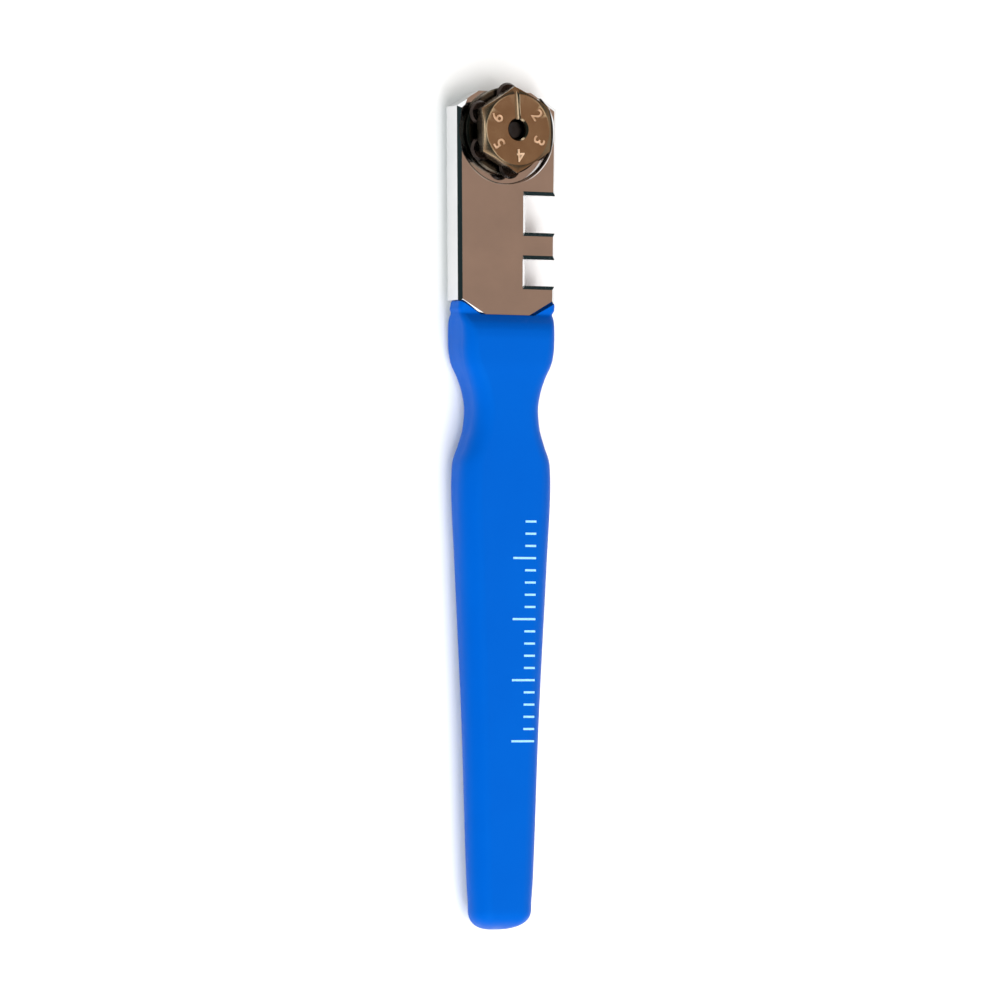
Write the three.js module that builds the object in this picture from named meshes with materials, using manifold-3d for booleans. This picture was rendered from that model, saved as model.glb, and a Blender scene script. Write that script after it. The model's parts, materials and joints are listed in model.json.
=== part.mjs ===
// Turret glass cutter: a flat plated head with six cutting wheels on a turret, and a moulded handle.
// Millimetres. X runs across the tool, Y from the tail to the head, Z up through the turret.
// The tool lies on its back, with the origin under the middle of its bounding box.

import * as THREE from "three";
import { mergeVertices } from "three/addons/utils/BufferGeometryUtils.js";
import Module from "manifold-3d";

const wasm = await Module();
wasm.setup();

// Clearances
const mouldGap = 0.1; // handle plastic round the plate and its tang
const runningGap = 0.05; // radial, between pieces that turn
const pressGap = 0.02; // radial, axles in the turret's holes
const stackGap = 0.03; // between faces that bear on each other

// Handle, measured from the tail: width, thickness and edge radius at each station
const handleStations = [
  { y: 3.5, width: 10.9, thickness: 6.0, radius: 2.9 },
  { y: 8, width: 11.5, thickness: 6.1, radius: 3.0 },
  { y: 34, width: 13.4, thickness: 6.6, radius: 3.2 },
  { y: 60, width: 15.8, thickness: 7.5, radius: 3.3 },
  { y: 72.5, width: 16.8, thickness: 7.9, radius: 3.2 },
  { y: 76.3, width: 16.4, thickness: 8.0, radius: 3.1 },
  { y: 79.5, width: 14.1, thickness: 8.1, radius: 3.0 },
  { y: 82.5, width: 12.2, thickness: 8.2, radius: 2.9 },
  { y: 85.5, width: 11.6, thickness: 8.3, radius: 2.8 },
  { y: 88, width: 12.3, thickness: 8.4, radius: 2.7 },
  { y: 90.5, width: 13.9, thickness: 8.6, radius: 2.6 },
  { y: 93.2, width: 16.1, thickness: 9.0, radius: 2.4 },
  { y: 95.5, width: 16.7, thickness: 9.0, radius: 2.2 },
  { y: 98.5, width: 16.7, thickness: 9.0, radius: 2.0 },
];
const tailRoundLength = 3.5;
const tailTipShare = 0.25; // the end facet's share of the full section
const tailBackShare = 0.85; // how nearly the back stays flat while the front rounds down
const collarRampLength = 2.5; // from the full section down to the collar
const collarLength = 2.2; // plastic beside the plate's lower chamfers
const collarWidth = 17.8;
const collarRadius = 1;
const collarDrop = 0.35; // how far the collar lies under the plate's faces
const sideSteps = 6; // facets round each edge of the handle
const handleRowLength = 1.7;

// Head plate
const plateThickness = 4.5;
const plateLength = 36.7;
const plateWidthLow = 17.8;
const plateWidthTop = 18.4;
const chamferAcross = 3.95;
const chamferAlong = 2.25;
const edgeAcross = 0.5; // bevel all round the front face
const edgeAlong = 0.9;
const backEdge = 0.3; // bevel all round the back face
const plateLap = 0.1; // the plate's end, inside the foot of the handle's ramp
const notches = [
  { from: 4.88, height: 4.34 },
  { from: 13.64, height: 6.1 },
];
const notchDepth = 5.55;
const recessRadius = 8.65;
const recessDepth = 1.2;

// Tang, moulded into the handle
const tangWidth = 7.5;
const tangThickness = 3;
const tangLength = 34;
const tangOverlap = 3;
const anchorRadius = 1.9;
const anchorsFromPlate = [9, 27];

// Turret
const turretBelowTop = 6.55;
const turretOffset = -0.25;
const turretTurn = THREE.MathUtils.degToRad(2);
const positions = 6;
const capCorner = 7.1; // centre to corner of the six-sided cap
const capHeight = 2.8;
const capFaceRadius = 5.9;
const capChamferDrop = 0.86; // from the face down to each corner's shoulder
const flangeRadius = 7.2;
const flangeHeight = 0.9;
const flangeChamfer = 0.2;
const hubRadius = 3.4;
const spigotRadius = 3;
const spigotShort = 0.3; // spigot end inside the plate's back
const boreRadius = 1.65;
const boreChamfer = 0.25;
const indexWidthIn = 0.85;
const indexWidthOut = 0.55;
const indexDepth = 0.3;

// Wheels and their axles
const wheelRadius = 2;
const wheelThickness = 1.1;
const wheelBevel = 0.3;
const wheelEdge = 0.08;
const wheelPitchRadius = 5.9;
const wheelSideGap = 0.1;
const axleRadius = 0.5;
const axleInCap = 1;

// Clamp screw and washers
const frictionWasherThickness = 0.25;
const frictionWasherRadius = 5;
const flatWasherThickness = 0.3;
const flatWasherRadius = 4.2;
const springWasherThickness = 0.4;
const springWasherRadius = 3.1;
const springWasherSplit = 0.6;
const screwHeadHeight = 1.1;
const screwHeadRadius = 3.3;
const screwHeadRound = 0.4;
const screwSlotWidth = 0.9;
const screwSlotDepth = 0.6;
const screwEndDepth = 1.3; // screw end below the cap's face
const screwPointChamfer = 0.3;

// Levels and places that follow
const fullStation = handleStations.at(-1);
const rampEnd = fullStation.y + collarRampLength;
const handleLength = rampEnd + collarLength;
const middle = fullStation.thickness / 2;
const plateBack = middle - plateThickness / 2;
const plateFront = middle + plateThickness / 2;
const recessFloor = plateFront - recessDepth;
const plateStart = rampEnd - plateLap;
const plateTop = plateStart + plateLength;
const turretY = plateTop - turretBelowTop;
const grooveHeight = wheelThickness + 2 * wheelSideGap;
const flangeBack = recessFloor + frictionWasherThickness + 2 * stackGap;
const flangeFront = flangeBack + flangeHeight;
const capBack = flangeFront + grooveHeight;
const capFace = capBack + capHeight;
const spigotEnd = plateBack + spigotShort;
const washerHole = boreRadius + runningGap;
const flatWasherTop = plateBack - stackGap;
const springWasherTop = flatWasherTop - flatWasherThickness - stackGap;
const headTop = springWasherTop - springWasherThickness - stackGap;
const overallLength = turretY + wheelPitchRadius * Math.cos(turretTurn) + wheelRadius;

// Looks
const bluePlastic = { color: 0x0064d8, roughness: 0.25, metalness: 0 };
const platedSteel = { color: 0x9b8a7c, roughness: 0.2, metalness: 1 };
const turretSteel = { color: 0x8a6e58, roughness: 0.3, metalness: 1 };
const darkSteel = { color: 0x3c3a3a, roughness: 0.3, metalness: 1 };
const screwSteel = { color: 0x8e9094, roughness: 0.35, metalness: 1 };
const springBrass = { color: 0xb9974e, roughness: 0.35, metalness: 1 };

// Closed geometry to solid, and back
function toSolid(geometry) {
  geometry.deleteAttribute("normal");
  geometry.deleteAttribute("uv");
  const merged = mergeVertices(geometry);
  return new wasm.Manifold(
    new wasm.Mesh({
      numProp: 3,
      vertProperties: new Float32Array(merged.attributes.position.array),
      triVerts: new Uint32Array(merged.index.array),
    }),
  );
}

function toGeometry(solid) {
  const mesh = solid.getMesh();
  const geometry = new THREE.BufferGeometry();
  geometry.setAttribute("position", new THREE.BufferAttribute(mesh.vertProperties, 3));
  geometry.setIndex(new THREE.BufferAttribute(mesh.triVerts, 1));
  geometry.computeVertexNormals();
  return geometry;
}

// A solid turned round Z from [radius, height] points
function turned(profile, sides) {
  const points = profile.map(([radius, height]) => new THREE.Vector2(radius, height));
  return toSolid(new THREE.LatheGeometry(points, sides).rotateX(Math.PI / 2));
}

function ring(outer, inner, low, high, sides) {
  return turned([[inner, low], [outer, low], [outer, high], [inner, high], [inner, low]], sides);
}

function post(radius, low, high, sides, x = 0, y = 0) {
  const cylinder = new THREE.CylinderGeometry(radius, radius, high - low, sides);
  return toSolid(cylinder.rotateX(Math.PI / 2).translate(x, y, (low + high) / 2));
}

function slab(outline, low, high) {
  const shape = new THREE.Shape(outline.map(([x, y]) => new THREE.Vector2(x, y)));
  const extruded = new THREE.ExtrudeGeometry(shape, { depth: high - low, bevelEnabled: false });
  return toSolid(extruded.translate(0, 0, low));
}

// Each side of an anticlockwise outline moved inwards by the same amount
function inset(outline, amount) {
  const count = outline.length;
  const sides = outline.map(([x, y], i) => {
    const [nextX, nextY] = outline[(i + 1) % count];
    const length = Math.hypot(nextX - x, nextY - y);
    const along = [(nextX - x) / length, (nextY - y) / length];
    return { along, x: x - along[1] * amount, y: y + along[0] * amount };
  });
  return sides.map((side, i) => {
    const before = sides[(i + count - 1) % count];
    const cross = before.along[0] * side.along[1] - before.along[1] * side.along[0];
    const reach = ((side.x - before.x) * side.along[1] - (side.y - before.y) * side.along[0]) / cross;
    return [before.x + before.along[0] * reach, before.y + before.along[1] * reach];
  });
}

// A slab with its front and back faces bevelled all round
function bevelledSlab(outline, low, high) {
  const levels = [
    { z: low, points: inset(outline, backEdge) },
    { z: low + backEdge, points: outline },
    { z: high - edgeAlong, points: outline },
    { z: high, points: inset(outline, edgeAcross) },
  ];
  const count = outline.length;
  const places = levels.flatMap(({ z, points }) => points.flatMap(([x, y]) => [x, y, z]));
  const corners = [];
  for (const [level, flip] of [[0, true], [levels.length - 1, false]]) {
    const contour = levels[level].points.map(([x, y]) => new THREE.Vector2(x, y));
    for (const [a, b, c] of THREE.ShapeUtils.triangulateShape(contour, [])) {
      const face = flip ? [a, c, b] : [a, b, c];
      corners.push(...face.map((corner) => corner + level * count));
    }
  }
  for (let level = 0; level < levels.length - 1; level += 1) {
    for (let i = 0; i < count; i += 1) {
      const a = level * count + i;
      const b = level * count + ((i + 1) % count);
      corners.push(a, b, b + count, a, b + count, a + count);
    }
  }
  const geometry = new THREE.BufferGeometry();
  geometry.setAttribute("position", new THREE.Float32BufferAttribute(places, 3));
  geometry.setIndex(corners);
  return toSolid(geometry);
}

// Smooth value between stations, with no overshoot
function stationValue(stations, y, key) {
  const last = stations.length - 1;
  const next = stations.findIndex((station) => station.y > y);
  if (next === 0) return stations[0][key];
  if (next < 0) return stations[last][key];
  const slope = (i) => (stations[i + 1][key] - stations[i][key]) / (stations[i + 1].y - stations[i].y);
  const tangent = (i) => {
    if (i === 0 || i === last) return 0;
    const before = slope(i - 1);
    const after = slope(i);
    return before * after <= 0 ? 0 : (2 * before * after) / (before + after);
  };
  const from = stations[next - 1];
  const to = stations[next];
  const span = to.y - from.y;
  const t = (y - from.y) / span;
  return (
    from[key] * (2 * t ** 3 - 3 * t ** 2 + 1) +
    to[key] * (3 * t ** 2 - 2 * t ** 3) +
    tangent(next - 1) * span * (t ** 3 - 2 * t ** 2 + t) +
    tangent(next) * span * (t ** 3 - t ** 2)
  );
}

function handleSection(y) {
  const at = (key) => stationValue(handleStations, y, key);
  const section = { width: at("width"), thickness: at("thickness"), radius: at("radius"), centre: middle };
  if (y < tailRoundLength) {
    const left = (tailRoundLength - y) / tailRoundLength;
    const share = Math.max(Math.sqrt(1 - left * left), tailTipShare);
    section.centre -= tailBackShare * (1 - share) * (section.thickness / 2);
    section.width *= share;
    section.thickness *= share;
    section.radius *= share;
  }
  if (y > fullStation.y) {
    const share = Math.min((y - fullStation.y) / collarRampLength, 1);
    const collarThickness = plateThickness - 2 * collarDrop;
    section.width = THREE.MathUtils.lerp(fullStation.width, collarWidth, share);
    section.thickness = THREE.MathUtils.lerp(fullStation.thickness, collarThickness, share);
    section.radius = THREE.MathUtils.lerp(fullStation.radius, collarRadius, share);
  }
  return section;
}

function handleRows() {
  const rows = [];
  const tailRows = 5;
  for (let i = 0; i < tailRows; i += 1) {
    rows.push(tailRoundLength * (1 - Math.cos(((i / tailRows) * Math.PI) / 2)));
  }
  const straight = fullStation.y - tailRoundLength;
  const count = Math.ceil(straight / handleRowLength);
  for (let i = 0; i <= count; i += 1) {
    rows.push(tailRoundLength + (straight * i) / count);
  }
  rows.push(rampEnd, handleLength);
  return rows;
}

// A column of rounded rectangles, one for each row
function handleBody() {
  const rows = handleRows();
  const perCorner = sideSteps + 1;
  const sides = 4 * perCorner;
  const column = new THREE.CylinderGeometry(1, 1, rows.length - 1, sides, rows.length - 1);
  const place = column.attributes.position;
  for (let i = 0; i < place.count; i += 1) {
    const row = Math.round(place.getY(i) + (rows.length - 1) / 2);
    const y = rows[row];
    const { width, thickness, radius, centre } = handleSection(y);
    if (Math.hypot(place.getX(i), place.getZ(i)) < 0.5) {
      place.setXYZ(i, 0, y, centre);
      continue;
    }
    const turn = Math.atan2(-place.getX(i), place.getZ(i)) / (2 * Math.PI);
    const step = (Math.round(turn * sides) + sides) % sides;
    const corner = Math.floor(step / perCorner);
    const angle = ((corner + (step % perCorner) / sideSteps) * Math.PI) / 2;
    const right = corner === 0 || corner === 3 ? 1 : -1;
    const front = corner < 2 ? 1 : -1;
    const x = right * (width / 2 - radius) + radius * Math.cos(angle);
    const z = centre + front * (thickness / 2 - radius) + radius * Math.sin(angle);
    place.setXYZ(i, x, y, z);
  }
  return toSolid(column);
}

function plateHalfWidth(y) {
  const share = (y - plateStart) / plateLength;
  return THREE.MathUtils.lerp(plateWidthLow, plateWidthTop, share) / 2;
}

// The plate's lower end, grown by a gap, for the seat that it leaves in the handle
function plateFoot(gap) {
  const lean = Math.atan2(chamferAlong, chamferAcross);
  const inner = plateHalfWidth(plateStart) - chamferAcross + gap * Math.tan(lean / 2);
  const outer = plateHalfWidth(plateStart) + gap;
  const shoulder = plateStart + chamferAlong - gap * Math.tan((Math.PI / 2 - lean) / 2);
  const top = plateStart + 2 * chamferAlong + collarLength;
  return [
    [-inner, plateStart - gap],
    [inner, plateStart - gap],
    [outer, shoulder],
    [outer, top],
    [-outer, top],
    [-outer, shoulder],
  ];
}

function tang(gap) {
  const half = tangWidth / 2 + gap;
  const low = plateStart - tangLength - gap;
  const high = plateStart + tangOverlap;
  const outline = [[-half, low], [half, low], [half, high], [-half, high]];
  let solid = slab(outline, middle - tangThickness / 2 - gap, middle + tangThickness / 2 + gap);
  for (const distance of anchorsFromPlate) {
    const hole = post(anchorRadius - gap, 0, 2 * middle, 24, 0, plateStart - distance);
    solid = solid.subtract(hole);
  }
  return solid;
}

function makeHandle() {
  const seat = slab(plateFoot(mouldGap), -1, 2 * middle + 1);
  return handleBody().subtract(seat).subtract(tang(mouldGap));
}

function plateOutline() {
  const top = plateTop;
  const low = plateStart;
  const right = [[plateHalfWidth(low) - chamferAcross, low], [plateHalfWidth(low), low + chamferAlong]];
  for (const { from, height } of notches) {
    const start = low + from;
    const end = start + height;
    right.push([plateHalfWidth(start), start]);
    right.push([plateHalfWidth(start) - notchDepth, start]);
    right.push([plateHalfWidth(start) - notchDepth, end]);
    right.push([plateHalfWidth(end), end]);
  }
  right.push([plateHalfWidth(top), top - chamferAlong], [plateHalfWidth(top) - chamferAcross, top]);
  const left = [
    [chamferAcross - plateHalfWidth(top), top],
    [-plateHalfWidth(top), top - chamferAlong],
    [-plateHalfWidth(low), low + chamferAlong],
    [chamferAcross - plateHalfWidth(low), low],
  ];
  return [...right, ...left];
}

function makeHeadPlate() {
  const recess = post(recessRadius, recessFloor, plateFront + 1, 72, turretOffset, turretY);
  const hole = post(spigotRadius + runningGap, 0, 2 * middle, 48, turretOffset, turretY);
  const plate = bevelledSlab(plateOutline(), plateBack, plateFront);
  return plate.add(tang(0)).subtract(recess).subtract(hole);
}

// Direction of each wheel from the turret's axis; number 1 is at the top, the rest go clockwise
function wheelPlace(index) {
  const angle = Math.PI / 2 - (index * 2 * Math.PI) / positions;
  return [wheelPitchRadius * Math.cos(angle), wheelPitchRadius * Math.sin(angle)];
}

function turretCap() {
  const hexagon = new THREE.CylinderGeometry(capCorner, capCorner, capHeight, positions);
  const prism = toSolid(hexagon.rotateX(Math.PI / 2).rotateZ(Math.PI).translate(0, 0, capBack + capHeight / 2));
  const shoulder = capFace - capChamferDrop;
  const envelope = turned(
    [[0, capBack - 1], [capCorner, capBack - 1], [capCorner, shoulder], [capFaceRadius, capFace], [0, capFace]],
    72,
  );
  return prism.intersect(envelope);
}

function indexGroove() {
  const outer = capCorner + 1;
  const outline = [
    [indexWidthIn / 2, 0],
    [indexWidthOut / 2, outer],
    [-indexWidthOut / 2, outer],
    [-indexWidthIn / 2, 0],
  ];
  return slab(outline, capFace - indexDepth, capFace + 1);
}

function makeTurretBody() {
  const core = turned(
    [
      [0, spigotEnd],
      [spigotRadius, spigotEnd],
      [spigotRadius, flangeBack],
      [flangeRadius - flangeChamfer, flangeBack],
      [flangeRadius, flangeBack + flangeChamfer],
      [flangeRadius, flangeFront - flangeChamfer],
      [flangeRadius - flangeChamfer, flangeFront],
      [hubRadius, flangeFront],
      [hubRadius, capBack + capHeight / 2],
      [0, capBack + capHeight / 2],
    ],
    48,
  );
  const bore = turned(
    [
      [0, spigotEnd - 1],
      [boreRadius, spigotEnd - 1],
      [boreRadius, capFace - boreChamfer],
      [boreRadius + boreChamfer, capFace],
      [boreRadius + boreChamfer, capFace + 1],
      [0, capFace + 1],
    ],
    32,
  );
  let body = core.add(turretCap()).subtract(bore).subtract(indexGroove());
  for (let i = 0; i < positions; i += 1) {
    const [x, y] = wheelPlace(i);
    const hole = post(axleRadius + pressGap, flangeBack - 1, capBack + axleInCap + stackGap, 16, x, y);
    body = body.subtract(hole);
  }
  return body;
}

function makeWheel() {
  const low = -wheelThickness / 2;
  const high = wheelThickness / 2;
  const bore = axleRadius + runningGap;
  const shoulder = wheelRadius - wheelBevel;
  return turned(
    [
      [bore, low],
      [shoulder, low],
      [wheelRadius, -wheelEdge / 2],
      [wheelRadius, wheelEdge / 2],
      [shoulder, high],
      [bore, high],
      [bore, low],
    ],
    32,
  );
}

function makeAxle() {
  return post(axleRadius, flangeBack + stackGap, capBack + axleInCap, 16);
}

function makeClampScrew() {
  const headBottom = headTop - screwHeadHeight;
  const end = capFace - screwEndDepth;
  const shank = boreRadius - runningGap;
  const screw = turned(
    [
      [0, headBottom],
      [screwHeadRadius - screwHeadRound, headBottom],
      [screwHeadRadius, headBottom + screwHeadRound],
      [screwHeadRadius, headTop],
      [shank, headTop],
      [shank, end - screwPointChamfer],
      [shank - screwPointChamfer, end],
      [0, end],
    ],
    32,
  );
  const slot = new THREE.BoxGeometry(3 * screwHeadRadius, screwSlotWidth, 2 * screwSlotDepth);
  return screw.subtract(toSolid(slot.translate(0, 0, headBottom)));
}

function makeSpringWasher() {
  const washer = ring(springWasherRadius, washerHole, springWasherTop - springWasherThickness, springWasherTop, 40);
  const split = new THREE.BoxGeometry(2 * springWasherRadius, springWasherSplit, 4 * springWasherThickness);
  return washer.subtract(toSolid(split.translate(springWasherRadius, 0, springWasherTop)));
}

function makeFlatWasher() {
  return ring(flatWasherRadius, washerHole, flatWasherTop - flatWasherThickness, flatWasherTop, 40);
}

function makeFrictionWasher() {
  const low = recessFloor + stackGap;
  return ring(frictionWasherRadius, spigotRadius + runningGap, low, low + frictionWasherThickness, 48);
}

function piece(name, solid, look) {
  const mesh = new THREE.Mesh(toGeometry(solid), new THREE.MeshStandardMaterial(look));
  mesh.name = name;
  return mesh;
}

const cutter = new THREE.Group();
cutter.position.y = -overallLength / 2;
cutter.add(piece("handle", makeHandle(), bluePlastic));
cutter.add(piece("head_plate", makeHeadPlate(), platedSteel));

const turret = new THREE.Group();
turret.position.set(turretOffset, turretY, 0);
turret.rotation.z = turretTurn;
turret.add(piece("turret_body", makeTurretBody(), turretSteel));
turret.add(piece("clamp_screw", makeClampScrew(), screwSteel));
turret.add(piece("spring_washer", makeSpringWasher(), screwSteel));
turret.add(piece("flat_washer", makeFlatWasher(), screwSteel));
turret.add(piece("friction_washer", makeFrictionWasher(), springBrass));
for (let i = 0; i < positions; i += 1) {
  const [x, y] = wheelPlace(i);
  const wheel = piece(`cutting_wheel_${i + 1}`, makeWheel(), darkSteel);
  wheel.position.set(x, y, (flangeFront + capBack) / 2);
  turret.add(wheel);
  const axle = piece(`wheel_axle_${i + 1}`, makeAxle(), screwSteel);
  axle.position.set(x, y, 0);
  turret.add(axle);
}
cutter.add(turret);

export default cutter;
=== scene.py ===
import json
import math

import bmesh
import bpy
from mathutils import Matrix, Vector


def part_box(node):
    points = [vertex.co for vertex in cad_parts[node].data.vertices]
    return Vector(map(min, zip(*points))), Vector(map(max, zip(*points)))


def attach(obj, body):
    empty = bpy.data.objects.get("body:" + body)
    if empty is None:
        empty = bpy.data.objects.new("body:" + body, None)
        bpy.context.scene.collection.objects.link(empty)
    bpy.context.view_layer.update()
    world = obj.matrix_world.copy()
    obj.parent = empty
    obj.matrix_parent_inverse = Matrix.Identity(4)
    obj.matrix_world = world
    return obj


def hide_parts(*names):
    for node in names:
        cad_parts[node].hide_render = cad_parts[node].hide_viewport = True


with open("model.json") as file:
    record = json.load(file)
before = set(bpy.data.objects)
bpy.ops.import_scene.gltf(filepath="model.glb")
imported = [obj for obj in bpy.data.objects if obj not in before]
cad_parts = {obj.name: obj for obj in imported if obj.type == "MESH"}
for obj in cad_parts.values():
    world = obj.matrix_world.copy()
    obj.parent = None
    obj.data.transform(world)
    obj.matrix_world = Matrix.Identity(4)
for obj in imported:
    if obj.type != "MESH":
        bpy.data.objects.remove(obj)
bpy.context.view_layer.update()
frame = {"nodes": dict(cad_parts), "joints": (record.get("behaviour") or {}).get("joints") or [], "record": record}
mm = 0.001  # shape dictionaries are in millimetres


# camera, lamps, boards and floor

shot = {
    "roll": 27.5,  # degrees towards the plain edge of the head
    "pitch": 1.2,  # degrees towards the tail
    "lean": 0.17,  # degrees round the line of sight
    "distance": 1.1,  # metres
    "lens": 241.2,
    "aim": (-0.13 * mm, 1.07 * mm, 4.5 * mm),
    "clip": (0.05, 20),  # metres
}


def makeCamera():
    roll = math.radians(shot["roll"])
    pitch = math.radians(shot["pitch"])
    away = Vector((-math.sin(roll) * math.cos(pitch), -math.sin(pitch), math.cos(roll) * math.cos(pitch)))
    away.normalize()
    right = Vector((0, 1, 0)).cross(away).normalized()
    up = away.cross(right)
    place = Matrix((right, up, away)).transposed().to_4x4()
    place.translation = Vector(shot["aim"]) + away * shot["distance"]
    camera = bpy.data.objects.new("camera", bpy.data.cameras.new("camera"))
    bpy.context.collection.objects.link(camera)
    camera.matrix_world = place @ Matrix.Rotation(math.radians(shot["lean"]), 4, "Z")
    camera.data.lens = shot["lens"]
    camera.data.clip_start, camera.data.clip_end = shot["clip"]
    bpy.context.scene.camera = camera


# places and sizes in metres; "mirrored" says whether shiny surfaces show the lamp
lamps = {
    "overhead": {
        "at": (-0.1, -0.72, 1.08), "size": 1.3, "power": 19.0, "colour": (1.0, 1.0, 1.0), "mirrored": False,
    },
    "key": {
        "at": (0.8, -0.1, 0.6), "size": 0.9, "power": 3.4, "colour": (1.0, 0.99, 0.98), "mirrored": False,
    },
    "tail": {
        "at": (0.2, -0.86, 0.46), "size": 0.1, "power": 0.8, "colour": (1.0, 1.0, 1.0), "mirrored": True,
    },
    "side": {
        "at": (-0.9, -0.05, 0.55), "size": 0.9, "power": 7.5, "colour": (0.93, 1.0, 0.97), "mirrored": False,
    },
}


def makeLamp(name, spec):
    lamp = bpy.data.lights.new(name, "AREA")
    lamp.shape = "DISK"
    lamp.size = spec["size"]
    lamp.energy = spec["power"]
    lamp.color = spec["colour"]
    holder = bpy.data.objects.new(name, lamp)
    bpy.context.collection.objects.link(holder)
    holder.visible_glossy = spec["mirrored"]
    holder.location = spec["at"]
    holder.rotation_euler = Vector(spec["at"]).to_track_quat("Z", "Y").to_euler()


# boards round the tool, for the plating to mirror: direction, colour,
# half angle of the flat middle, half angle at the faded edge
surroundings = {
    "room": (0.023, 0.039, 0.041),
    "boards": (
        ((0.461, 0.044, 0.886), (0.43, 0.273, 0.195), 32, 40),  # warm brown, for the flat fronts
        ((0.96, 0.0, 0.28), (0.4, 0.36, 0.32), 8, 28),  # low, beside the notches
        ((-0.1, -0.95, 0.27), (1.6, 1.6, 1.6), 9, 14),  # low, past the tail
        ((-0.06, 0.98, 0.19), (1.6, 1.6, 1.6), 9, 14),  # low, past the head
        ((-0.13, 0.04, 0.99), (1.8, 1.8, 1.8), 7, 13),  # straight above
        ((0.02, -0.74, 0.67), (1.9, 1.9, 1.9), 10, 13),  # for the plate's two lower bevels
        ((0.12, -0.3, 0.944), (1.6, 1.5, 1.4), 7, 10),  # this and the next two are for rounded rims
        ((0.68, 0.25, 0.69), (1.5, 1.4, 1.3), 6, 9),
        ((0.2, 0.3, 0.93), (1.5, 1.45, 1.4), 6, 9),
    ),
}


def makeBoard(tree, where, behind, direction, paint, inner, outer):
    facing = tree.nodes.new("ShaderNodeVectorMath")
    facing.operation = "DOT_PRODUCT"
    facing.inputs[1].default_value = Vector(direction).normalized()
    tree.links.new(where.outputs["Generated"], facing.inputs[0])
    edge = tree.nodes.new("ShaderNodeMapRange")
    edge.interpolation_type = "SMOOTHSTEP"
    edge.inputs["From Min"].default_value = math.cos(math.radians(outer))
    edge.inputs["From Max"].default_value = math.cos(math.radians(inner))
    tree.links.new(facing.outputs["Value"], edge.inputs["Value"])
    board = tree.nodes.new("ShaderNodeMix")
    board.data_type = "RGBA"
    board.clamp_result = False
    board.inputs["A"].default_value = (*surroundings["room"], 1)
    board.inputs["B"].default_value = (*paint, 1)
    tree.links.new(edge.outputs["Result"], board.inputs["Factor"])
    if behind is not None:
        tree.links.new(behind, board.inputs["A"])
    return board.outputs["Result"]


def makeSurroundings():
    world = bpy.data.worlds.new("studio")
    bpy.context.scene.world = world
    world.use_nodes = True
    tree = world.node_tree
    where = tree.nodes.new("ShaderNodeTexCoord")
    colour = None
    for direction, paint, inner, outer in surroundings["boards"]:
        colour = makeBoard(tree, where, colour, direction, paint, inner, outer)
    tree.links.new(colour, tree.nodes["Background"].inputs["Color"])


# "half" is half the sheet's side, in metres
floorPaper = {"half": 1.5, "colour": (0.93, 0.93, 0.94, 1), "roughness": 0.9, "gloss": 0.1}


def makeFloor():
    bm = bmesh.new()
    bmesh.ops.create_grid(bm, x_segments=4, y_segments=4, size=floorPaper["half"])
    mesh = bpy.data.meshes.new("floor")
    bm.to_mesh(mesh)
    bm.free()
    floor = bpy.data.objects.new("floor", mesh)
    bpy.context.collection.objects.link(floor)
    paint = bpy.data.materials.new("floor_paper")
    paint.use_nodes = True
    shader = paint.node_tree.nodes["Principled BSDF"]
    shader.inputs["Base Color"].default_value = floorPaper["colour"]
    shader.inputs["Roughness"].default_value = floorPaper["roughness"]
    shader.inputs["Specular IOR Level"].default_value = floorPaper["gloss"]
    mesh.materials.append(paint)


makeCamera()
for lampName, lampSpec in lamps.items():
    makeLamp(lampName, lampSpec)
makeSurroundings()
makeFloor()
bpy.context.scene.view_settings.view_transform = "Standard"
print("camera, floor and light are set")


# shared steps for materials

def newMaterial(name, sockets):
    material = bpy.data.materials.new(name)
    material.use_nodes = True
    shader = material.node_tree.nodes["Principled BSDF"]
    for socket, value in sockets.items():
        shader.inputs[socket].default_value = value
    return material, material.node_tree, shader


def objectSpace(tree, stretch=(1, 1, 1), centre=(0, 0, 0)):
    where = tree.nodes.new("ShaderNodeTexCoord")
    mapping = tree.nodes.new("ShaderNodeMapping")
    mapping.inputs["Location"].default_value = tuple(-c * s for c, s in zip(centre, stretch))
    mapping.inputs["Scale"].default_value = stretch
    tree.links.new(where.outputs["Object"], mapping.inputs["Vector"])
    return mapping.outputs["Vector"]


def noise(tree, vector, scale, detail=4.0):
    node = tree.nodes.new("ShaderNodeTexNoise")
    node.inputs["Scale"].default_value = scale
    node.inputs["Detail"].default_value = detail
    node.inputs["Roughness"].default_value = 0.55
    tree.links.new(vector, node.inputs["Vector"])
    return node.outputs["Fac"]


def spread(tree, value, low, high, fromLow=0.3, fromHigh=0.7):
    node = tree.nodes.new("ShaderNodeMapRange")
    node.inputs["From Min"].default_value = fromLow
    node.inputs["From Max"].default_value = fromHigh
    node.inputs["To Min"].default_value = low
    node.inputs["To Max"].default_value = high
    tree.links.new(value, node.inputs["Value"])
    return node.outputs["Result"]


def blendColours(tree, value, first, second):
    node = tree.nodes.new("ShaderNodeMix")
    node.data_type = "RGBA"
    for socket, colour in (("A", first), ("B", second)):
        if isinstance(colour, tuple):
            node.inputs[socket].default_value = (*colour, 1)
        else:
            tree.links.new(colour, node.inputs[socket])
    tree.links.new(value, node.inputs["Factor"])
    return node.outputs["Result"]


def roughen(tree, shader, value, look):
    tree.links.new(spread(tree, value, *look["roughness"]), shader.inputs["Roughness"])


def addBump(tree, shader, height, depth, strength, before=None):
    node = tree.nodes.new("ShaderNodeBump")
    node.inputs["Strength"].default_value = strength
    node.inputs["Distance"].default_value = depth * mm
    tree.links.new(height, node.inputs["Height"])
    if before is not None:
        tree.links.new(before, node.inputs["Normal"])
    tree.links.new(node.outputs["Normal"], shader.inputs["Normal"])
    return node.outputs["Normal"]


# moulded plastic, faintly mottled and rubbed along its length

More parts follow.
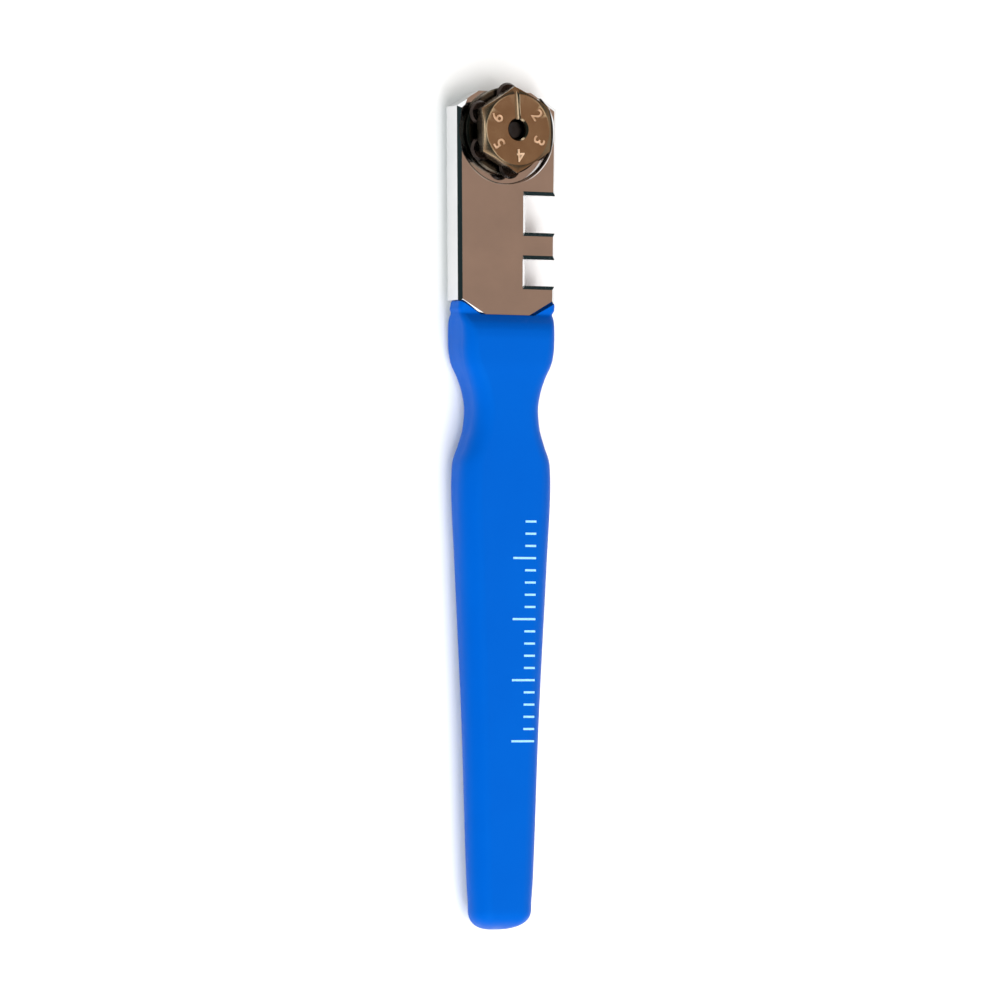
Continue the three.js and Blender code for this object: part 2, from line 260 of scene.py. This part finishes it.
plasticLook = {
    "sockets": {"IOR": 1.25, "Specular IOR Level": 0.4, "Specular Tint": (0.1, 0.8, 1.0, 1)},
    "colours": ((0.0, 0.079, 0.44), (0.0, 0.087, 0.465)),
    "roughness": (0.36, 0.5),
    "mottle": {"scale": 45, "depth": 0.12, "strength": 0.25},
    "grain": {"scale": 900, "depth": 0.02, "strength": 0.35},
    "rub": {"scale": 600, "stretch": (1, 0.12, 1)},
}


def bluePlastic():
    look = plasticLook
    mottle, grain, rub = look["mottle"], look["grain"], look["rub"]
    material, tree, shader = newMaterial("blue_plastic", look["sockets"])
    space = objectSpace(tree)
    mottled = noise(tree, space, mottle["scale"])
    fine = noise(tree, space, grain["scale"], detail=3)
    rubbed = noise(tree, objectSpace(tree, rub["stretch"]), rub["scale"], detail=6)
    colour = blendColours(tree, spread(tree, mottled, 0, 1), *look["colours"])
    tree.links.new(colour, shader.inputs["Base Color"])
    roughen(tree, shader, rubbed, look)
    grained = addBump(tree, shader, fine, grain["depth"], grain["strength"])
    addBump(tree, shader, mottled, mottle["depth"], mottle["strength"], grained)
    return material


# bright plating on the head plate, with faint rolling marks along it

platingLook = {
    "sockets": {"Metallic": 1.0},
    "colours": ((0.63, 0.635, 0.645), (0.69, 0.69, 0.695)),
    "roughness": (0.07, 0.13),
    "clouds": 160,
    "rolling": {"scale": 2600, "stretch": (1, 0.05, 1), "depth": 0.002, "strength": 0.2},
}


def platedSteel():
    look = platingLook
    rolling = look["rolling"]
    material, tree, shader = newMaterial("plated_steel", look["sockets"])
    cloudy = noise(tree, objectSpace(tree), look["clouds"])
    rolled = noise(tree, objectSpace(tree, rolling["stretch"]), rolling["scale"], detail=5)
    colour = blendColours(tree, spread(tree, cloudy, 0, 1), *look["colours"])
    tree.links.new(colour, shader.inputs["Base Color"])
    roughen(tree, shader, rolled, look)
    addBump(tree, shader, rolled, rolling["depth"], rolling["strength"])
    return material


# turned plating on the cap, with painted shade below its shoulder, round the wheel groove

turretLook = {
    "sockets": {"Metallic": 1.0},
    "unshaded": ((0.41, 0.31, 0.198), (0.48, 0.37, 0.24)),
    "paintedShade": ((0.1, 0.085, 0.065), (0.2, 0.165, 0.12)),
    "shadeLine": 1.0,  # mm below the cap's face, where the painted shade begins
    "shadeFade": 0.1,
    "roughness": (0.17, 0.27),
    "clouds": {"scale": 260, "depth": 0.008, "strength": 0.15},
    "rings": {"Scale": 1500, "Distortion": 1.5, "Detail": 3, "Detail Scale": 2},
    "ringBump": {"depth": 0.002, "strength": 0.1},
}


def turretSteel(centre, top):
    look = turretLook
    clouds, ringBump = look["clouds"], look["ringBump"]
    material, tree, shader = newMaterial("turret_steel", look["sockets"])
    space = objectSpace(tree, centre=centre)
    rings = tree.nodes.new("ShaderNodeTexWave")
    rings.wave_type = "RINGS"
    rings.rings_direction = "Z"
    for socket, value in look["rings"].items():
        rings.inputs[socket].default_value = value
    tree.links.new(space, rings.inputs["Vector"])
    cloudy = noise(tree, space, clouds["scale"], detail=5)
    unshaded = blendColours(tree, spread(tree, cloudy, 0, 1), *look["unshaded"])
    # painted shade: below the line, the cap's lower side, the hub and the flange take the darker colour, for the
    # shade in and round the wheel groove
    paintedShade = blendColours(tree, spread(tree, cloudy, 0, 1), *look["paintedShade"])
    height = tree.nodes.new("ShaderNodeSeparateXYZ")
    tree.links.new(space, height.inputs["Vector"])
    line, fade = top - centre[2] - look["shadeLine"] * mm, look["shadeFade"] * mm
    above = spread(tree, height.outputs["Z"], 0, 1, line - fade, line + fade)
    tree.links.new(blendColours(tree, above, paintedShade, unshaded), shader.inputs["Base Color"])
    roughen(tree, shader, cloudy, look)
    ringed = addBump(tree, shader, rings.outputs["Fac"], ringBump["depth"], ringBump["strength"])
    addBump(tree, shader, cloudy, clouds["depth"], clouds["strength"], ringed)
    return material


# the small pieces share one speckled finish

speckledLooks = {
    "wheel_steel": {
        "sockets": {"Metallic": 1.0}, "scale": 1500, "stretch": (1, 1, 8), "roughness": (0.2, 0.34),
        "colours": ((0.03, 0.025, 0.022), (0.065, 0.048, 0.042)),
    },
    "screw_steel": {
        "sockets": {"Metallic": 1.0}, "scale": 700, "stretch": (1, 1, 1), "roughness": (0.25, 0.4),
        "colours": ((0.035, 0.037, 0.04), (0.06, 0.062, 0.067)),
    },
    "washer_brass": {
        "sockets": {"Metallic": 1.0}, "scale": 500, "stretch": (1, 1, 1), "roughness": (0.3, 0.5),
        "colours": ((0.62, 0.46, 0.20), (0.78, 0.60, 0.28)),
    },
    "worn_letters": {
        "sockets": {"Metallic": 0.2}, "scale": 900, "stretch": (1, 1, 1), "roughness": (0.35, 0.55),
        "colours": ((0.42, 0.26, 0.15), (0.72, 0.5, 0.34)),
    },
    "pale_ink": {
        "sockets": {"IOR": 1.45}, "scale": 1800, "stretch": (1, 1, 1), "roughness": (0.4, 0.6),
        "colours": ((0.24, 0.55, 0.82), (0.34, 0.64, 0.88)),
    },
}
speckleBump = {"depth": 0.01, "strength": 0.3}


def speckledFinish(name, look):
    material, tree, shader = newMaterial(name, look["sockets"])
    speckle = noise(tree, objectSpace(tree, look["stretch"]), look["scale"], detail=5)
    colour = blendColours(tree, spread(tree, speckle, 0, 1), *look["colours"])
    tree.links.new(colour, shader.inputs["Base Color"])
    roughen(tree, shader, speckle, look)
    addBump(tree, shader, speckle, speckleBump["depth"], speckleBump["strength"])
    return material


joints = {joint["name"]: joint for joint in frame["joints"]}
turretAxis = Vector(joints["turret_turn"]["pos_m"])
turretLow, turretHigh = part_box("turret_body")
finishes = {
    "blue_plastic": bluePlastic(),
    "plated_steel": platedSteel(),
    "turret_steel": turretSteel(tuple(turretAxis), turretHigh.z),
}
for finishName, finishLook in speckledLooks.items():
    finishes[finishName] = speckledFinish(finishName, finishLook)
for part in frame["record"]["subparts"]:
    node = frame["nodes"][part["node"]]
    node.data.materials.clear()
    node.data.materials.append(finishes[part["material_slot"]])
print("materials are made")


# shared modelling steps

def toObject(name, bm):
    bmesh.ops.remove_doubles(bm, verts=bm.verts, dist=1e-7)
    bmesh.ops.recalc_face_normals(bm, faces=bm.faces)
    mesh = bpy.data.meshes.new(name)
    bm.to_mesh(mesh)
    bm.free()
    thing = bpy.data.objects.new(name, mesh)
    bpy.context.collection.objects.link(thing)
    return thing


def applyModifiers(thing):
    graph = bpy.context.evaluated_depsgraph_get()
    graph.update()
    baked = bpy.data.meshes.new_from_object(thing.evaluated_get(graph))
    old = thing.data
    thing.modifiers.clear()
    thing.data = baked
    bpy.data.meshes.remove(old)


def carve(thing, tool, operation="DIFFERENCE"):
    step = thing.modifiers.new("carve", "BOOLEAN")
    step.operation = operation
    step.solver = "EXACT"
    step.object = tool
    applyModifiers(thing)
    bpy.data.objects.remove(tool)


def roundEdges(thing, width, segments=2, angle=28):
    step = thing.modifiers.new("round", "BEVEL")
    step.width = width
    step.segments = segments
    step.limit_method = "ANGLE"
    step.angle_limit = math.radians(angle)
    step.use_clamp_overlap = True
    applyModifiers(thing)


def keepFlats(thing):
    step = thing.modifiers.new("flats", "WEIGHTED_NORMAL")
    step.weight = 100
    step.keep_sharp = True
    applyModifiers(thing)


def turnedSolid(name, profile, centre, steps):
    # the profile is (radius, height) pairs, from the axis round to the axis or closed on itself
    bm = bmesh.new()
    points = [bm.verts.new((centre[0] + radius, centre[1], height)) for radius, height in profile]
    edges = [bm.edges.new(pair) for pair in zip(points, points[1:])]
    bmesh.ops.spin(
        bm, geom=points + edges, cent=(centre[0], centre[1], 0), axis=(0, 0, 1), angle=2 * math.pi,
        steps=steps, use_merge=True, use_duplicate=False,
    )
    return toObject(name, bm)


def post(name, radius, low, high, centre, segments=96):
    bm = bmesh.new()
    place = Matrix.Translation((centre[0], centre[1], (low + high) / 2))
    bmesh.ops.create_cone(
        bm, cap_ends=True, segments=segments, radius1=radius, radius2=radius, depth=high - low, matrix=place,
    )
    return toObject(name, bm)


def roundedCorner(radius, curve, base):
    # (radius, height) pairs, from the flat at the base out to the full radius
    turns = [math.radians(a) for a in range(0, 91, 15)]
    return [(radius - curve + curve * math.sin(t), base + curve - curve * math.cos(t)) for t in turns]


def slab(name, outline, low, high):
    bm = bmesh.new()
    face = bm.faces.new([bm.verts.new((x, y, low)) for x, y in outline])
    raised = bmesh.ops.extrude_face_region(bm, geom=[face])
    tops = [item for item in raised["geom"] if isinstance(item, bmesh.types.BMVert)]
    bmesh.ops.translate(bm, verts=tops, vec=(0, 0, high - low))
    return toObject(name, bm)


def finishPiece(piece, body, slotName, nodes, sharp=40):
    if not piece.data.materials:
        piece.data.materials.append(finishes[slotName])
    for polygon in piece.data.polygons:
        polygon.use_smooth = True
    piece.data.set_sharp_from_angle(angle=math.radians(sharp))
    keepFlats(piece)
    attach(piece, body)
    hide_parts(*nodes)


# handle

plateLow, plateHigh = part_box("head_plate")
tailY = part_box("handle")[0].y
middleZ = (plateLow.z + plateHigh.z) / 2

handleShape = {
    # distance from the tail, width, thickness, edge radius, centre above the plate's middle
    "stations": (
        (3.5, 10.9, 6.0, 2.9, 0.0),
        (8.0, 11.5, 6.1, 3.0, 0.0),
        (34.0, 13.4, 6.6, 3.2, 0.0),
        (60.0, 15.8, 7.5, 3.3, 0.0),
        (72.5, 16.8, 7.9, 3.2, 0.0),
        (76.3, 16.4, 8.0, 3.1, 0.0),
        (79.5, 14.1, 8.1, 3.0, 0.0),
        (82.5, 12.2, 8.2, 2.9, 0.0),
        (85.5, 11.6, 8.3, 2.8, 0.0),
        (88.0, 12.3, 8.4, 2.7, 0.0),
        (90.5, 13.9, 8.6, 2.6, 0.0),
        (93.2, 16.1, 9.0, 2.4, 0.0),
        (95.5, 16.7, 9.0, 2.2, 0.0),
        (96.8, 16.7, 9.0, 2.1, 0.0),
        (98.2, 16.75, 8.6, 1.9, 0.0),
        (99.4, 16.9, 7.5, 1.5, 0.0),
        (100.4, 17.2, 5.8, 1.2, 0.0),
        (101.1, 17.25, 4.6, 1.1, 0.05),
        (101.8, 17.8, 4.5, 1.0, 0.3),
        (102.8, 17.7, 4.4, 1.0, 0.5),
        (103.2, 17.3, 3.6, 0.9, 0.5),
    ),
    "tailRound": 3.5,
    "tailCurve": 2.4,  # 2 is a circle, more is squarer
    "tailBack": 0.85,  # how nearly the back stays flat while the front rounds down
    "tailRows": 12,
    "rowGap": 0.8,
    "collarFrom": 96.0,  # rows are closer from here on
    "collarGap": 0.2,
    "perCorner": 12,
    "perSide": 3,
}


def slope(i, key):
    start, end = handleShape["stations"][i:i + 2]
    return (end[key] - start[key]) / (end[0] - start[0])


def tangent(i, key):
    # level at the ends and at each turning point, so that no width overshoots
    if i in (0, len(handleShape["stations"]) - 1):
        return 0
    before, after = slope(i - 1, key), slope(i, key)
    if before * after <= 0:
        return 0
    return 2 * before * after / (before + after)


def stationValues(y):
    # smooth between stations
    stations = handleShape["stations"]
    if y <= stations[0][0]:
        return stations[0][1:]
    if y >= stations[-1][0]:
        return stations[-1][1:]
    after = next(i for i, station in enumerate(stations) if station[0] > y)
    start, end = stations[after - 1], stations[after]
    span = end[0] - start[0]
    t = (y - start[0]) / span
    return [
        start[key] * (2 * t**3 - 3 * t**2 + 1)
        + end[key] * (3 * t**2 - 2 * t**3)
        + tangent(after - 1, key) * span * (t**3 - 2 * t**2 + t)
        + tangent(after, key) * span * (t**3 - t**2)
        for key in range(1, len(start))
    ]


def handleRing(y):
    width, thickness, radius, rise = stationValues(y)
    centre = middleZ + rise * mm
    if y < handleShape["tailRound"]:
        left = (handleShape["tailRound"] - y) / handleShape["tailRound"]
        power = handleShape["tailCurve"]
        share = max(1 - left**power, 0) ** (1 / power)
        centre -= handleShape["tailBack"] * (1 - share) * thickness / 2 * mm
        width, thickness, radius = width * share, thickness * share, radius * share
    points = []
    for corner in range(4):
        right = 1 if corner in (0, 3) else -1
        front = 1 if corner < 2 else -1
        x = right * (width / 2 - radius)
        z = front * (thickness / 2 - radius)
        for step in range(handleShape["perCorner"] + 1):
            angle = (corner + step / handleShape["perCorner"]) * math.pi / 2
            points.append((x + radius * math.cos(angle), z + radius * math.sin(angle)))
        endX, endZ = points[-1]
        for step in range(1, handleShape["perSide"] + 1):
            share = step / (handleShape["perSide"] + 1)
            if corner % 2 == 0:
                points.append((endX * (1 - 2 * share), endZ))
            else:
                points.append((endX, endZ * (1 - 2 * share)))
    return [(px * mm, tailY + y * mm, centre + pz * mm) for px, pz in points]


def handleRows():
    rows = []
    for i in range(1, handleShape["tailRows"]):
        rows.append(handleShape["tailRound"] * (1 - math.cos(i / handleShape["tailRows"] * math.pi / 2)))
    y = handleShape["tailRound"]
    top = handleShape["stations"][-1][0]
    while y < top - 1.5 * handleShape["collarGap"]:
        rows.append(y)
        y += handleShape["rowGap"] if y < handleShape["collarFrom"] else handleShape["collarGap"]
    rows.append(top)
    return rows


def loopEdges(bm, ring):
    return [bm.edges.get(pair) for pair in zip(ring, ring[1:] + ring[:1])]


def makeHandle():
    rows = handleRows()
    bm = bmesh.new()
    first = handleRing(rows[0])
    ring = list(bmesh.ops.create_circle(bm, segments=len(first), radius=mm)["verts"])
    for vert, place in zip(ring, first):
        vert.co = place
    edges = loopEdges(bm, ring)
    tail = bmesh.ops.contextual_create(bm, geom=edges)["faces"]
    bmesh.ops.poke(bm, faces=tail)
    for y in rows[1:]:
        grown = bmesh.ops.extrude_edge_only(bm, edges=edges)["geom"]
        fresh = {vert for vert in grown if isinstance(vert, bmesh.types.BMVert)}
        following = []
        for vert in ring:
            twin = next(e.other_vert(vert) for e in vert.link_edges if e.other_vert(vert) in fresh)
            following.append(twin)
        ring = following
        for vert, place in zip(ring, handleRing(y)):
            vert.co = place
        edges = loopEdges(bm, ring)
    bmesh.ops.contextual_create(bm, geom=edges)
    return toObject("handle_moulded", bm)


# printed scale on the handle

scaleShape = {
    "from": 31.0,  # distance from the tail
    "step": 2.0,
    "count": 19,
    "right": 4.6,
    "short": 2.0,
    "long": 4.2,
    "longEvery": 5,
    "stroke": 0.35,
    "film": 0.02,  # stands this far proud, and reaches three times as far into the plastic
    "edgeRound": 0.015,
}


def makePrintedScale():
    shape = scaleShape
    bm = bmesh.new()
    for i in range(shape["count"]):
        y = shape["from"] + i * shape["step"]
        reach = shape["short"] if i % shape["longEvery"] else shape["long"]
        front = middleZ + stationValues(y)[1] / 2 * mm
        size = Matrix.Diagonal((reach * mm, shape["stroke"] * mm, 4 * shape["film"] * mm, 1))
        middle = (shape["right"] - reach / 2) * mm
        place = Matrix.Translation((middle, tailY + y * mm, front - shape["film"] * mm))
        bmesh.ops.create_cube(bm, size=1, matrix=place @ size)
    scale = toObject("printed_scale", bm)
    roundEdges(scale, shape["edgeRound"] * mm, segments=1)
    scale.data.materials.append(finishes["pale_ink"])
    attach(scale, "frame")


# head plate

plateShape = {
    "length": 36.7,
    "widthLow": 17.8,
    "widthTop": 18.4,
    "chamferAcross": 3.95,
    "chamferAlong": 2.25,
    "topAcross": 4.4,
    "topAlong": 2.65,
    "notches": ((4.88, 4.34), (13.64, 6.1)),  # start above the plate's lower end, height
    "notchDepth": 5.55,
    "recessRadius": 8.65,
    "recessDepth": 1.2,
    "holeRadius": 3.05,
    "frontAcross": 0.62,  # bevel round the front: its width, then its depth
    "frontDeep": 0.52,
    "recessFillet": 0.15,
    "recessEdge": 0.1,  # soft rim round the recess: its depth, then its width
    "recessRim": 0.35,
    "backChamfer": 0.3,
    "edgeRound": 0.13,
    "footAcross": 0.45,  # flatter bevels on the two lower chamfers
    "footSlope": 30.0,
    "footBlock": (14, 8, 8),
    "seatGap": 0.06,
}
plateStartY = plateHigh.y - plateShape["length"] * mm


def plateHalf(along):
    share = along / plateShape["length"]
    return (plateShape["widthLow"] + (plateShape["widthTop"] - plateShape["widthLow"]) * share) / 2


def plateOutline():
    across, along = plateShape["chamferAcross"], plateShape["chamferAlong"]
    top = plateShape["length"]
    points = [(plateHalf(0) - across, 0), (plateHalf(0), along)]
    for start, height in plateShape["notches"]:
        inner = plateHalf(start) - plateShape["notchDepth"]
        points += [(plateHalf(start), start), (inner, start)]
        points += [(inner, start + height), (plateHalf(start + height), start + height)]
    topAcross, topAlong = plateShape["topAcross"], plateShape["topAlong"]
    points += [(plateHalf(top), top - topAlong), (plateHalf(top) - topAcross, top)]
    points += [(topAcross - plateHalf(top), top), (-plateHalf(top), top - topAlong)]
    points += [(-plateHalf(0), along), (across - plateHalf(0), 0)]
    return [(x * mm, plateStartY + y * mm) for x, y in points]


def chamferLevel(thing, level, across, deep):
    # bevels the edges at this level, apart from the lower end's and its two chamfers'
    bm = bmesh.new()
    bm.from_mesh(thing.data)
    foot = plateStartY + (plateShape["chamferAlong"] + 0.01) * mm
    rim = [
        e for e in bm.edges
        if all(abs(v.co.z - level) < 1e-6 for v in e.verts) and any(v.co.y > foot for v in e.verts)
    ]
    bmesh.ops.bevel(
        bm, geom=rim, offset=across, offset_type="OFFSET", segments=1, profile=0.5, affect="EDGES",
        clamp_overlap=True, material=-1,
    )
    inwards = 1 if level < middleZ else -1
    for vert in bm.verts:
        if abs(vert.co.z - level - inwards * across) < 1e-6:
            vert.co.z = level + inwards * deep
    bm.to_mesh(thing.data)
    bm.free()


def footCutter(side):
    # a block whose underside lies on the flatter bevel of one lower chamfer
    across, along = plateShape["chamferAcross"] * mm, plateShape["chamferAlong"] * mm
    half = plateHalf(0) * mm
    outwards = Vector((side * along, -across, 0)).normalized()
    middle = Vector((side * (half - across / 2), plateStartY + along / 2, plateHigh.z))
    tilt = math.radians(plateShape["footSlope"])
    normal = outwards * math.sin(tilt) + Vector((0, 0, math.cos(tilt)))
    sideways = Vector((0, 0, 1)).cross(normal).normalized()
    place = Matrix((sideways, normal.cross(sideways), normal)).transposed().to_4x4()
    block = [length * mm for length in plateShape["footBlock"]]
    place.translation = middle - outwards * plateShape["footAcross"] * mm + normal * block[2] / 2
    bm = bmesh.new()
    bmesh.ops.create_cube(bm, size=1, matrix=place @ Matrix.Diagonal((*block, 1)))
    return toObject("foot_cutter", bm)


def makeHeadPlate():
    plate = slab("head_plate_plated", plateOutline(), plateLow.z, plateHigh.z)
    back = plateShape["backChamfer"] * mm
    chamferLevel(plate, plateHigh.z, plateShape["frontAcross"] * mm, plateShape["frontDeep"] * mm)
    chamferLevel(plate, plateLow.z, back, back)
    floorZ = plateHigh.z - plateShape["recessDepth"] * mm
    radius, fillet = plateShape["recessRadius"] * mm, plateShape["recessFillet"] * mm
    edge, width = plateShape["recessEdge"] * mm, plateShape["recessRim"] * mm
    curve = roundedCorner(radius, fillet, floorZ)
    # the cutter goes on up past the front face at the rim's slope
    rim = [(radius, plateHigh.z - edge), (radius + 2 * width, plateHigh.z + edge), (0, plateHigh.z + edge)]
    carve(plate, turnedSolid("recess", [(0, floorZ), *curve, *rim], turretAxis, steps=160))
    carve(plate, post("hole", plateShape["holeRadius"] * mm, plateLow.z - mm, plateHigh.z, turretAxis))
    for side in (-1, 1):
        carve(plate, footCutter(side))
    roundEdges(plate, plateShape["edgeRound"] * mm)
    return plate


def makeSeat():
    # the room that the handle leaves round the plate's lower end
    across, along = plateShape["chamferAcross"], plateShape["chamferAlong"]
    gap = plateShape["seatGap"]
    half = plateHalf(0)
    outline = [
        (across - half - gap / 3, -gap), (half - across + gap / 3, -gap), (half + gap, along - gap / 2),
        (half + gap, 3 * along), (-half - gap, 3 * along), (-half - gap, along - gap / 2),
    ]
    placed = [(x * mm, plateStartY + y * mm) for x, y in outline]
    return slab("seat", placed, plateLow.z - 2 * mm, plateHigh.z + 2 * mm)


handle = makeHandle()
carve(handle, makeSeat())
makePrintedScale()
finishPiece(handle, "frame", "blue_plastic", ["handle"])
headPlate = makeHeadPlate()
finishPiece(headPlate, "frame", "plated_steel", ["head_plate"])
print("handle and head plate are made")


# turret

wheelLow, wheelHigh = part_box("cutting_wheel_1")
wheelCentres = [Vector(joints[f"wheel_{number}_spin"]["pos_m"]) for number in range(1, 7)]
turretTurn = math.atan2(-(wheelCentres[0] - turretAxis).x, (wheelCentres[0] - turretAxis).y)

turretShape = {
    "capCorner": 7.1,
    "capFace": 5.9,
    "capDrop": 0.86,
    "capRim": 0.26,  # soft edge round the face
    "capRimDrop": 0.07,
    "flangeRadius": 7.2,
    "flangeHeight": 0.9,
    "flangeChamfer": 0.2,
    "hubRadius": 3.4,
    "spigotRadius": 3.0,
    "wheelSideGap": 0.1,
    "boreRadius": 1.65,
    "boreChamfer": 0.25,
    "indexIn": 1.0,  # groove's width at the axis, then past the corner
    "indexOut": 0.95,
    "indexDepth": 0.32,
    "indexLift": 0.3,  # how far the cutter's sides go on up past the face, for each unit of depth
    "digitSize": 2.9,
    "digitWeight": 0.04,
    "digitRadius": 4.15,
    "digitDepth": 0.14,
    "digitLean": 3.0,  # degrees past the cap's own turn
    "edgeRound": 0.06,
}


def turretCore(grooveLow, grooveHigh):
    # spigot, flange and hub
    shape = turretShape
    low, flangeLow = turretLow.z, grooveLow - shape["flangeHeight"] * mm
    spigot, hub = shape["spigotRadius"] * mm, shape["hubRadius"] * mm
    flange, cut = shape["flangeRadius"] * mm, shape["flangeChamfer"] * mm
    return turnedSolid("turret_body_plated", [
        (0, low), (spigot, low), (spigot, flangeLow),
        (flange - cut, flangeLow), (flange, flangeLow + cut),
        (flange, grooveLow - cut), (flange - cut, grooveLow),
        (hub, grooveLow), (hub, grooveHigh + mm), (0, grooveHigh + mm),
    ], turretAxis, steps=128)


def turretCap(grooveHigh):
    # a six-sided block, turned down round its face
    shape = turretShape
    high = turretHigh.z
    corner, face = shape["capCorner"] * mm, shape["capFace"] * mm
    bm = bmesh.new()
    turn = Matrix.Rotation(turretTurn, 4, "Z")
    place = Matrix.Translation((turretAxis.x, turretAxis.y, (grooveHigh + high) / 2)) @ turn
    bmesh.ops.create_cone(
        bm, cap_ends=True, segments=6, radius1=corner, radius2=corner, depth=high - grooveHigh, matrix=place,
    )
    cap = toObject("cap", bm)
    carve(cap, turnedSolid("envelope", [
        (0, grooveHigh - mm), (corner, grooveHigh - mm), (corner, high - shape["capDrop"] * mm),
        (face, high - shape["capRimDrop"] * mm), (face - shape["capRim"] * mm, high), (0, high),
    ], turretAxis, steps=192), "INTERSECT")
    return cap


def makeTurret():
    shape = turretShape
    low, high = turretLow.z, turretHigh.z
    grooveLow = wheelLow.z - shape["wheelSideGap"] * mm
    grooveHigh = wheelHigh.z + shape["wheelSideGap"] * mm
    core = turretCore(grooveLow, grooveHigh)
    carve(core, turretCap(grooveHigh), "UNION")
    bore, flare = shape["boreRadius"] * mm, shape["boreChamfer"] * mm
    carve(core, turnedSolid("bore", [
        (0, low - mm), (bore, low - mm), (bore, high - flare),
        (bore + flare, high), (bore + flare, high + mm), (0, high + mm),
    ], turretAxis, steps=64))
    return core


def turretPlace(angle, radius, height):
    # its own Y points outwards from the turret's axis
    outwards = Matrix.Rotation(angle, 4, "Z") @ Matrix.Translation((0, radius, 0))
    return Matrix.Translation((turretAxis.x, turretAxis.y, height)) @ outwards


def paintTurret(thing):
    # the second material is for the faces of the digits
    for name in ("turret_steel", "worn_letters"):
        thing.data.materials.append(finishes[name])


def cutIndex(body):
    shape = turretShape
    lift, depth = shape["indexLift"], shape["indexDepth"] * mm
    reach = (shape["capCorner"] + 1) * mm
    inner, outer = shape["indexIn"] * mm / 2 * (1 + lift), shape["indexOut"] * mm / 2 * (1 + lift)
    top = depth * lift
    corners = [
        (-inner, 0, top), (inner, 0, top), (0, 0, -depth),
        (-outer, reach, top), (outer, reach, top), (0, reach, -depth),
    ]
    bm = bmesh.new()
    bmesh.ops.convex_hull(bm, input=[bm.verts.new(corner) for corner in corners])
    bmesh.ops.transform(bm, matrix=turretPlace(turretTurn, 0, turretHigh.z), verts=bm.verts)
    carve(body, toObject("index", bm))


def digitSolid(number):
    shape = turretShape
    lettering = bpy.data.curves.new("digit", "FONT")
    lettering.body = str(number)
    lettering.size = shape["digitSize"] * mm
    lettering.align_x = "CENTER"
    lettering.align_y = "CENTER"
    lettering.extrude = shape["digitDepth"] * mm
    lettering.offset = shape["digitWeight"] * mm
    lettering.resolution_u = 4
    source = bpy.data.objects.new("digit", lettering)
    bpy.context.collection.objects.link(source)
    graph = bpy.context.evaluated_depsgraph_get()
    graph.update()
    mesh = bpy.data.meshes.new_from_object(source.evaluated_get(graph))
    bpy.data.objects.remove(source)
    bm = bmesh.new()
    bm.from_mesh(mesh)
    bpy.data.meshes.remove(mesh)
    for face in bm.faces:
        face.material_index = 1
    angle = turretTurn + math.radians(shape["digitLean"]) - (number - 1) * math.pi / 3
    place = turretPlace(angle, shape["digitRadius"] * mm, turretHigh.z)
    bmesh.ops.transform(bm, matrix=place, verts=bm.verts)
    digit = toObject("digit", bm)
    paintTurret(digit)
    return digit


turretBody = makeTurret()
paintTurret(turretBody)
cutIndex(turretBody)
for number in range(2, 7):
    carve(turretBody, digitSolid(number))
roundEdges(turretBody, turretShape["edgeRound"] * mm, angle=30)
finishPiece(turretBody, "turret", "turret_steel", ["turret_body"])


# cutting wheels, each with a shallow dish round its bore

wheelShape = {
    "rimBevel": 0.3,
    "edge": 0.05,
    "bore": 0.55,
    "dish": 0.08,  # its depth, then its inner and outer radius
    "dishIn": 0.9,
    "dishOut": 1.45,
}


def makeWheel(number):
    shape = wheelShape
    low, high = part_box(f"cutting_wheel_{number}")
    radius = (high.y - low.y) / 2
    half = (high.z - low.z) / 2
    middle = (high.z + low.z) / 2
    bore, edge, bevel = shape["bore"] * mm, shape["edge"] * mm, shape["rimBevel"] * mm
    dish, dishIn, dishOut = shape["dish"] * mm, shape["dishIn"] * mm, shape["dishOut"] * mm
    upper = [
        (radius, edge / 2), (radius - bevel, half), (dishOut, half),
        (dishOut - dish, half - dish), (dishIn + dish, half - dish), (dishIn, half), (bore, half),
    ]
    section = upper + [(r, -z) for r, z in reversed(upper)] + upper[:1]
    section = [(r, middle + z) for r, z in section]
    wheel = turnedSolid(f"cutting_wheel_{number}_ground", section, wheelCentres[number - 1], steps=72)
    finishPiece(wheel, f"wheel_{number}", "wheel_steel", [f"cutting_wheel_{number}"], sharp=25)


for wheelNumber in range(1, 7):
    makeWheel(wheelNumber)
print("turret and wheels are made")


# clamp screw

screwLow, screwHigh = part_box("clamp_screw")
screwShape = {
    "headRadius": 3.3,
    "headHeight": 1.1,
    "headRound": 0.4,
    "shankRadius": 1.6,
    "pointChamfer": 0.3,
    "slotWidth": 0.9,
    "slotDepth": 0.6,
    "edgeRound": 0.06,
}


def makeClampScrew():
    shape = screwShape
    head, shank, point = shape["headRadius"] * mm, shape["shankRadius"] * mm, shape["pointChamfer"] * mm
    low, high = screwLow.z, screwHigh.z
    headTop = low + shape["headHeight"] * mm
    dome = roundedCorner(head, shape["headRound"] * mm, low)
    screw = turnedSolid("clamp_screw_slotted", [
        (0, low), *dome, (head, headTop), (shank, headTop),
        (shank, high - point), (shank - point, high), (0, high),
    ], turretAxis, steps=96)
    bm = bmesh.new()
    size = Matrix.Diagonal((3 * head, shape["slotWidth"] * mm, 2 * shape["slotDepth"] * mm, 1))
    place = Matrix.Translation((turretAxis.x, turretAxis.y, low)) @ Matrix.Rotation(turretTurn, 4, "Z")
    bmesh.ops.create_cube(bm, size=1, matrix=place @ size)
    carve(screw, toObject("slot", bm))
    roundEdges(screw, shape["edgeRound"] * mm, angle=35)
    return screw


clampScrew = makeClampScrew()
finishPiece(clampScrew, "screw", "screw_steel", ["clamp_screw"])
print("clamp screw is made")
